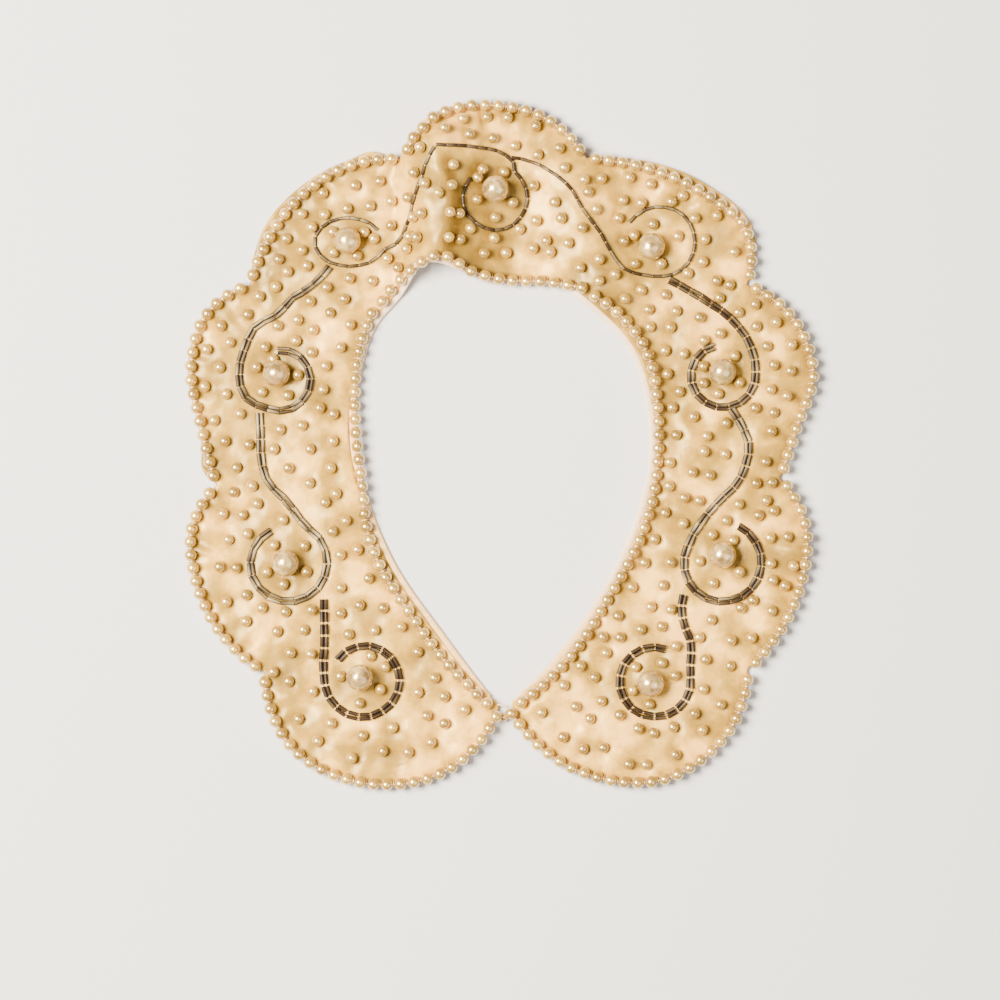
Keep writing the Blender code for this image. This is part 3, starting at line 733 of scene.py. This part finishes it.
def wrapped_sheet(inner, outer, wall, face_steps, relief=None):
    """A closed sheet with rolled edges between two lines, raised by its relief, as a bmesh."""
    shares, shifts, heights = wall_profile(wall, face_steps)
    around = len(shares)
    shape = bmesh.new()
    bmesh.ops.create_grid(shape, x_segments=len(inner) - 1, y_segments=around, size=1.0)
    shape.verts.ensure_lookup_table()
    across = outer - inner
    width = np.linalg.norm(across, axis=1)[:, None]
    station = np.array([round((vert.co.x + 1) / 2 * (len(inner) - 1)) for vert in shape.verts])
    ring = np.array([round((vert.co.y + 1) / 2 * around) for vert in shape.verts]) % around
    plan = inner[station] + across[station] * (shares[ring, None] + shifts[ring, None] / width[station])
    height = heights[ring]
    if relief is not None:
        height = height + relief(plan) * np.maximum(0.0, 2 * height / wall - 1)
    points = above_underside(plan, height)
    for vert, point in zip(shape.verts, points):
        vert.co = Vector(point) * MM
    bmesh.ops.remove_doubles(shape, verts=shape.verts, dist=MERGED_UNDER)
    bmesh.ops.holes_fill(shape, edges=[edge for edge in shape.edges if edge.is_boundary], sides=0)
    return shape


def set_attribute(item, name, values):
    """Store one number for each point of a piece, for its material."""
    layer = item.data.attributes.new(name, "FLOAT", "POINT")
    layer.data.foreach_set("value", np.asarray(values, dtype=np.float32))


def plan_of(item):
    """A piece's points as seen from above, in millimetres."""
    flat = np.empty(len(item.data.vertices) * 3)
    item.data.vertices.foreach_get("co", flat)
    return flat.reshape(-1, 3)[:, :2] / MM


def satin_panel(cloth):
    """The satin crescent."""
    inner, outer = collar_edges()
    shape = wrapped_sheet(inner, outer, WALL, FACE_STEPS, cloth.relief)
    panel = finished("satin_panel", shape, satin())
    set_attribute(panel, "age", cloth.age(plan_of(panel)))
    keep(panel, "ivory_satin", "collar_panel")
    return panel


def facing_strip():
    """The facing rolled out along the neckline, running out to a point at each front end."""
    neck = neckline()
    length = lengths_along(neck)[-1]
    wanted = np.linspace(FACING_STARTS, length - FACING_STARTS, FACING_STEPS)
    inner = at_lengths(neck, wanted)
    width = (FACING_WIDTH + SEAM_GAP) * facing_share(wanted, length) + FACING_TUCK
    outer = inner + width[:, None] * at_lengths(neck, wanted, sideways(neck))
    shape = wrapped_sheet(inner, outer, FACING_WALL, FACING_FACE_STEPS)
    strip = finished("facing_strip", shape, facing_satin())
    keep(strip, "facing_satin", "neck_facing")
    return strip


def pearl_mesh(centres, radius, chance):
    """Pearls at the given centres, each a little out of round, with a tone of its own."""
    shape = bmesh.new()
    tone = shape.verts.layers.float.new("tone")
    for centre in centres:
        angle = chance.uniform(0, math.tau)
        axis = Vector((chance.uniform(-1, 1), chance.uniform(-1, 1), chance.uniform(-1, 1)))
        turn = Matrix.Rotation(angle, 4, axis.normalized())
        size = Matrix.Diagonal((1.0, 1.0, 1.0 - chance.uniform(0, PEARL_SQUASH), 1.0))
        made = bmesh.ops.create_icosphere(
            shape,
            subdivisions=PEARL_FINENESS,
            radius=radius * MM,
            matrix=Matrix.Translation(Vector(centre) * MM) @ turn @ size,
        )
        value = chance.random()
        for vert in made["verts"]:
            vert[tone] = value
    return shape


def strung_pearls(cloth, places, chance):
    """The strings of pearls along the edge and the neckline."""
    material = pearl_finish("champagne_pearl", STRUNG_CHAMPAGNE)
    centres = {}
    for node, seen in places.items():
        centres[node] = cloth.face(seen, PEARL_RADIUS - SEAT_SINK)
        piece = finished(f"strung_{node}", pearl_mesh(centres[node], PEARL_RADIUS, chance), material)
        keep(piece, "champagne_pearl", node)
    return centres


def single_pearls(cloth, seen, chance):
    """Pearls sewn on one by one, and a lower one that shows between the two front ends."""
    material = pearl_finish("small_pearl", SMALL_CHAMPAGNE)
    centres = cloth.face(seen, SMALL_PEARL_RADIUS - SEAT_SINK)
    single = pearl_mesh(centres, SMALL_PEARL_RADIUS, chance)
    keep(finished("small_pearls", single, material), "champagne_pearl")
    low = pearl_mesh([(*TIP_BEAD, TIP_BEAD_RADIUS)], TIP_BEAD_RADIUS, chance)
    keep(finished("tip_bead", low, material), "champagne_pearl")


def large_pearls(cloth):
    """The large cream pearls."""
    material = mottled_pearl()
    centres = cloth.face(np.array([vine.pearl for vine in VINES]), LARGE_PEARL_RADIUS - SEAT_SINK)
    for vine, centre in zip(VINES, centres):
        shape = bmesh.new()
        bmesh.ops.create_uvsphere(
            shape,
            u_segments=LARGE_PEARL_SIDES,
            v_segments=LARGE_PEARL_BANDS,
            radius=LARGE_PEARL_RADIUS * MM,
            matrix=Matrix.Translation(Vector(centre) * MM),
        )
        keep(finished(f"cream_{vine.name}", shape, material), "cream_pearl", f"large_pearl_{vine.name}")


def add_bugle(shape, layers, start, end, radius, silver):
    """One bugle bead between two points, its silver lining painted as a glint along the top, a hole at
    each end.
    """
    lining, tone = layers
    run = Vector(end - start) * MM
    middle = Vector((start + end) / 2) * MM
    place = Matrix.Translation(middle) @ run.to_track_quat("Z", "Y").to_matrix().to_4x4()
    made = bmesh.ops.create_cone(
        shape,
        cap_ends=True,
        segments=BUGLE_SIDES,
        radius1=radius * MM,
        radius2=radius * MM,
        depth=run.length,
        matrix=place,
    )
    for vert in made["verts"]:
        # The lining shows only along the tube's top, as a painted highlight
        up = (vert.co.z - middle.z) / (radius * MM)
        vert[lining] = min(1.0, max(0.0, (up - GLINT_FROM) / (GLINT_FULL - GLINT_FROM)))
        vert[tone] = silver
    caps = {face for vert in made["verts"] for face in vert.link_faces if len(face.verts) > 4}
    for edge in {edge for face in caps for edge in face.edges}:
        edge.smooth = False
    rim = BUGLE_RIM * radius * MM
    bmesh.ops.inset_individual(shape, faces=list(caps), thickness=rim, depth=-BUGLE_HOLE_DEPTH * MM)


def bugle_vines(cloth, chance):
    """The vines of bugle beads, and the lines of the thread that runs through them."""
    material = bugle_glass()
    strung = []
    for vine in VINES:
        bugle = BUGLES[vine.name]
        line = vine_line(vine)
        length = lengths_along(line)[-1]
        wanted = np.linspace(0, length, round(length / bugle.pitch) + 1)
        joints = at_lengths(line, wanted)
        left = at_lengths(line, wanted, sideways(line))
        offsets = (0.0,) if vine.rows == 1 else (-BUGLE_SPREAD, BUGLE_SPREAD)
        shape = bmesh.new()
        layers = (shape.verts.layers.float.new("lining"), shape.verts.layers.float.new("tone"))
        for offset in offsets:
            stray = np.array([chance.uniform(-BUGLE_STRAY, BUGLE_STRAY) for _ in joints])[:, None]
            ends = cloth.face(joints + (offset + stray) * left, bugle.radius)
            strung.append(ends)
            shares = wanted / length
            for begin, finish, share in zip(ends, ends[1:], shares):
                middle = (begin + finish) / 2
                gap = np.linalg.norm(finish - begin)
                half = (finish - begin) / gap * (gap - bugle.joint) / 2
                # How much silver shows: partly the beads' own, partly painted reflection of the lamp
                silver = bugle.silver[0] + share * (bugle.silver[1] - bugle.silver[0])
                silver += chance.uniform(-BUGLE_SILVER_AND_GLARE_STRAY, BUGLE_SILVER_AND_GLARE_STRAY)
                add_bugle(shape, layers, middle - half, middle + half, bugle.radius, silver)
        keep(finished(f"bugle_{vine.name}", shape, material), "bugle_glass", f"vine_{vine.name}")
    return strung


def threads(name, lines, radius, material):
    """Thin threads along lines, as one piece."""
    curve = bpy.data.curves.new(name, "CURVE")
    curve.dimensions = "3D"
    curve.bevel_depth = radius * MM
    curve.bevel_resolution = THREAD_FINENESS
    curve.use_fill_caps = True
    for line in lines:
        spline = curve.splines.new("POLY")
        spline.points.add(len(line) - 1)
        for point, place in zip(spline.points, line):
            point.co = (*(Vector(place) * MM), 1.0)
    curve.materials.append(material)
    item = bpy.data.objects.new(name, curve)
    bpy.context.collection.objects.link(item)
    return item


def pearl_stitches(centres):
    """The thread through each string, and a stitch over it between each two pearls."""
    strings, stitches = [], []
    for row in centres.values():
        strings.append(row)
        travel = np.gradient(row, axis=0)
        for index in range(len(row) - 1):
            middle = (row[index] + row[index + 1]) / 2
            side = np.cross(travel[index], (0.0, 0.0, 1.0))
            side = side / np.linalg.norm(side)
            stitches.append(np.array([middle + out * side + (0, 0, up) for out, up in STITCH_PATH]))
    return strings, stitches


def loop_lines():
    """The strands of the loop between the two front ends."""
    left = np.array(LOOP_LEFT)
    span = np.array(LOOP_RIGHT) - left
    lines = []
    for phase in (0.0, math.pi):
        line = []
        for step in range(LOOP_STEPS + 1):
            share = step / LOOP_STEPS
            twist = LOOP_TURNS * math.tau * share + phase
            rise = LOOP_RISE * math.sin(math.pi * share)
            around = LOOP_TWIST_RADIUS * np.array((0.0, math.cos(twist), math.sin(twist)))
            offset = around + (0.0, 0.0, rise)
            line.append(left + share * span + offset)
        lines.append(np.array(line))
    return lines


class Nodes:
    """A material's node tree, with short ways to add to it."""

    def __init__(self, name):
        self.material = bpy.data.materials.new(name)
        self.material.use_nodes = True
        self.tree = self.material.node_tree
        self.shader = self.tree.nodes["Principled BSDF"]

    def add(self, kind, **settings):
        node = self.tree.nodes.new(kind)
        for name, value in settings.items():
            setattr(node, name, value)
        return node

    def link(self, out, into):
        self.tree.links.new(out, into)

    def fix(self, **values):
        """Set sockets of the shader to one value all over."""
        for name, value in values.items():
            self.shader.inputs[name.replace("_", " ")].default_value = value

    def feed(self, **outs):
        """Link patterns to sockets of the shader."""
        for name, out in outs.items():
            self.link(out, self.shader.inputs[name.replace("_", " ")])

    def attribute(self, name):
        return self.add("ShaderNodeAttribute", attribute_name=name).outputs["Fac"]

    def object_pattern(self, scale=(1.0, 1.0, 1.0)):
        """Object coordinates, plain or stretched."""
        source = self.add("ShaderNodeTexCoord").outputs["Object"]
        mapping = self.add("ShaderNodeMapping")
        mapping.inputs["Scale"].default_value = scale
        self.link(source, mapping.inputs["Vector"])
        return mapping.outputs["Vector"]

    def noise(self, vector, scale, detail=2.0, roughness=0.5):
        node = self.add("ShaderNodeTexNoise")
        node.inputs["Scale"].default_value = scale
        node.inputs["Detail"].default_value = detail
        node.inputs["Roughness"].default_value = roughness
        self.link(vector, node.inputs["Vector"])
        return node.outputs["Fac"]

    def ramp(self, factor, stops):
        """A colour ramp through (position, colour) stops."""
        node = self.add("ShaderNodeValToRGB")
        ramp = node.color_ramp
        while len(ramp.elements) < len(stops):
            ramp.elements.new(0.5)
        for element, (position, colour) in zip(ramp.elements, stops):
            element.position = position
            element.color = (*colour, 1.0)
        self.link(factor, node.inputs["Fac"])
        return node.outputs["Color"]

    def math(self, operation, first, second):
        node = self.add("ShaderNodeMath", operation=operation)
        for socket, value in zip(node.inputs, (first, second)):
            if isinstance(value, (int, float)):
                socket.default_value = value
            else:
                self.link(value, socket)
        return node.outputs[0]

    def mix(self, factor, first, second, blend="MIX"):
        node = self.add("ShaderNodeMix", data_type="RGBA", blend_type=blend)
        for socket, value in ((node.inputs[0], factor), (node.inputs[6], first), (node.inputs[7], second)):
            if isinstance(value, (int, float)):
                socket.default_value = value
            elif isinstance(value, tuple):
                socket.default_value = (*value, 1.0)
            else:
                self.link(value, socket)
        return node.outputs[2]

    def bump(self, height, distance, strength=1.0, after=None):
        node = self.add("ShaderNodeBump")
        node.inputs["Strength"].default_value = strength
        node.inputs["Distance"].default_value = distance
        self.link(height, node.inputs["Height"])
        if after is not None:
            self.link(after, node.inputs["Normal"])
        return node.outputs["Normal"]


def satin():
    """Ivory satin: lengthwise threads with a soft shine, gone golden round the beads, with painted shade
    round the beads and on the folds.
    """
    nodes = Nodes("ivory_satin")
    plain = nodes.object_pattern()
    lengthwise = nodes.object_pattern((1.0, 0.06, 0.06))
    mottle = nodes.noise(plain, scale=260.0, detail=4.0, roughness=0.6)
    fine = nodes.noise(lengthwise, scale=2600.0, roughness=0.6)
    uneven = nodes.math("MULTIPLY", nodes.math("SUBTRACT", mottle, 0.5), 0.85)
    # The attribute holds golden stain and painted shade
    worn_and_shaded = nodes.math("ADD", nodes.attribute("age"), uneven)
    shade = nodes.math("MULTIPLY", fine, 0.22)
    colour = nodes.mix(shade, nodes.ramp(worn_and_shaded, SATIN_AGES_AND_SHADE), SATIN_THREADS, blend="MULTIPLY")
    roughness = nodes.math("ADD", nodes.math("MULTIPLY", fine, 0.16), 0.30)
    soft = nodes.bump(mottle, distance=0.00015)
    normal = nodes.bump(fine, distance=0.00003, strength=0.6, after=soft)
    nodes.feed(Base_Color=colour, Roughness=roughness, Normal=normal)
    nodes.fix(Specular_IOR_Level=0.8, Specular_Tint=SATIN_SHINE)
    return nodes.material


def facing_satin():
    """The facing's paler satin with fine crosswise threads, warmer towards the left front."""
    nodes = Nodes("facing_satin")
    crosswise = nodes.object_pattern((0.1, 1.0, 1.0))
    fine = nodes.noise(crosswise, scale=2400.0)
    place = nodes.add("ShaderNodeSeparateXYZ")
    nodes.link(nodes.object_pattern(), place.inputs["Vector"])
    leftward = nodes.math("ADD", place.outputs["X"], place.outputs["Y"])
    warm = nodes.math("MULTIPLY", leftward, -FACING_WARMS_PER_METRE)
    warm.node.use_clamp = True
    pale = nodes.ramp(fine, FACING_PALE)
    ivory = nodes.ramp(fine, FACING_IVORY)
    nodes.feed(Base_Color=nodes.mix(warm, pale, ivory), Normal=nodes.bump(fine, distance=0.00004))
    nodes.fix(Roughness=0.42)
    return nodes.material


def pearl_finish(name, colours):
    """Pearl lustre over a warm body, each pearl a little lighter or darker than the next."""
    nodes = Nodes(name)
    cloud = nodes.noise(nodes.object_pattern(), scale=600.0, detail=3.0)
    own = nodes.math("MULTIPLY", nodes.attribute("tone"), 0.5)
    tone = nodes.math("ADD", own, nodes.math("MULTIPLY", cloud, 0.6))
    roughness = nodes.math("ADD", nodes.math("MULTIPLY", cloud, 0.2), 0.2)
    normal = nodes.bump(cloud, distance=0.00003)
    nodes.feed(Base_Color=nodes.ramp(tone, colours), Roughness=roughness, Normal=normal)
    nodes.fix(Metallic=0.55, Coat_Weight=1.0, Coat_Roughness=0.08, Coat_IOR=2.1)
    return nodes.material


def mottled_pearl():
    """Cream pearl lustre over a wrinkled body, clouded with rose and green."""
    nodes = Nodes("cream_pearl")
    cloud = nodes.noise(nodes.object_pattern(), scale=300.0)
    nodes.feed(Base_Color=nodes.ramp(cloud, CREAM_CLOUDS), Normal=nodes.bump(cloud, distance=0.0004))
    nodes.fix(Metallic=0.4, Roughness=0.3, Coat_Weight=1.0, Coat_Roughness=0.06, Coat_IOR=2.0)
    return nodes.material


def bugle_glass():
    """Smoky glass tubes over a silver lining that shows as a lengthwise band along the top, a painted
    highlight.
    """
    nodes = Nodes("bugle_glass")
    lining = nodes.attribute("lining")
    tone = nodes.attribute("tone")
    dark = nodes.ramp(tone, GLASS_DARKS)
    silver = nodes.ramp(tone, GLASS_SILVER_GLINTS)
    nodes.feed(Base_Color=nodes.mix(lining, dark, silver))
    nodes.fix(Roughness=0.45, Specular_IOR_Level=0.1, Coat_Weight=0.08, Coat_Roughness=0.15)
    return nodes.material


def thread_finish():
    """Cream cotton thread."""
    nodes = Nodes("sewing_thread")
    fuzz = nodes.noise(nodes.object_pattern(), scale=4000.0)
    nodes.feed(Base_Color=nodes.ramp(fuzz, COTTON_CREAMS), Normal=nodes.bump(fuzz, distance=0.00003))
    nodes.fix(Roughness=0.7)
    return nodes.material


def floor_and_light():
    """A plain pale floor, a broad soft light from the left and a weak one from the right."""
    shape = bmesh.new()
    bmesh.ops.create_grid(shape, x_segments=1, y_segments=1, size=FLOOR_SIZE / 2)
    nodes = Nodes("pale_floor")
    nodes.fix(Base_Color=FLOOR_COLOUR, Roughness=0.8)
    floor = finished("floor", shape, nodes.material, smooth=False)
    world = bpy.data.worlds.new("studio")
    world.use_nodes = True
    background = world.node_tree.nodes["Background"]
    background.inputs["Color"].default_value = WORLD_COLOUR
    background.inputs["Strength"].default_value = WORLD_STRENGTH
    bpy.context.scene.world = world
    for light in LIGHTS:
        area_light(light)


def area_light(light):
    """A square soft light aimed at the collar."""
    lamp = bpy.data.lights.new(light.name, "AREA")
    lamp.shape = "SQUARE"
    lamp.size = light.size
    lamp.energy = light.power
    lamp.color = light.colour
    item = bpy.data.objects.new(light.name, lamp)
    item.location = light.place
    item.rotation_euler = (-Vector(light.place)).to_track_quat("-Z", "Y").to_euler()
    bpy.context.collection.objects.link(item)


def camera():
    """A camera looking straight down, as the photograph does."""
    lens = bpy.data.cameras.new("camera")
    lens.lens = LENS_MM
    lens.sensor_width = SENSOR_MM
    lens.clip_end = SEES_TO
    item = bpy.data.objects.new("camera", lens)
    item.location = (*CAMERA_OVER, FRAME_WIDTH * LENS_MM / SENSOR_MM)
    bpy.context.collection.objects.link(item)
    bpy.context.scene.camera = item


def main():
    chance = random.Random(SEED)
    camera()
    floor_and_light()
    places = string_places()
    strung = np.vstack(list(places.values()))
    vine_points = np.vstack([vine_line(vine) for vine in VINES])
    double_points = np.vstack([vine_line(vine) for vine in VINES if vine.rows == 2])
    large = np.array([vine.pearl for vine in VINES])
    small = moved_clear(small_pearl_places(), large, CLEARS_LARGE_PEARL)
    small = moved_clear(small, strung, CLEARS_STRING)
    small = moved_clear(small, vine_points, CLEARS_VINE)
    small = moved_clear(small, double_points, CLEARS_DOUBLE_VINE)
    beads = np.vstack([
        seat(strung, PEARL_RADIUS),
        seat(small, SMALL_PEARL_RADIUS),
        seat(large, LARGE_PEARL_RADIUS),
    ])
    halos = np.concatenate([
        np.full(len(strung), STRUNG_HALO),
        np.full(len(small), SMALL_HALO),
        np.full(len(large), LARGE_HALO),
    ])
    cloth = Cloth(beads, halos, seat(vine_points, BUGLE_RADIUS), collar_edges()[1])
    panel = satin_panel(cloth)
    facing = facing_strip()
    centres = strung_pearls(cloth, places, chance)
    single_pearls(cloth, small, chance)
    large_pearls(cloth)
    vine_threads = bugle_vines(cloth, chance)
    strings, stitches = pearl_stitches(centres)
    thread = thread_finish()
    keep(threads("string_threads", strings, THREAD_RADIUS, thread), "loop_thread")
    keep(threads("pearl_stitches", stitches, STITCH_RADIUS, thread), "loop_thread")
    keep(threads("vine_threads", vine_threads, VINE_THREAD_RADIUS, thread), "loop_thread")
    keep(threads("loop_strands", loop_lines(), LOOP_THREAD_RADIUS, thread), "loop_thread", "front_loop")


main()
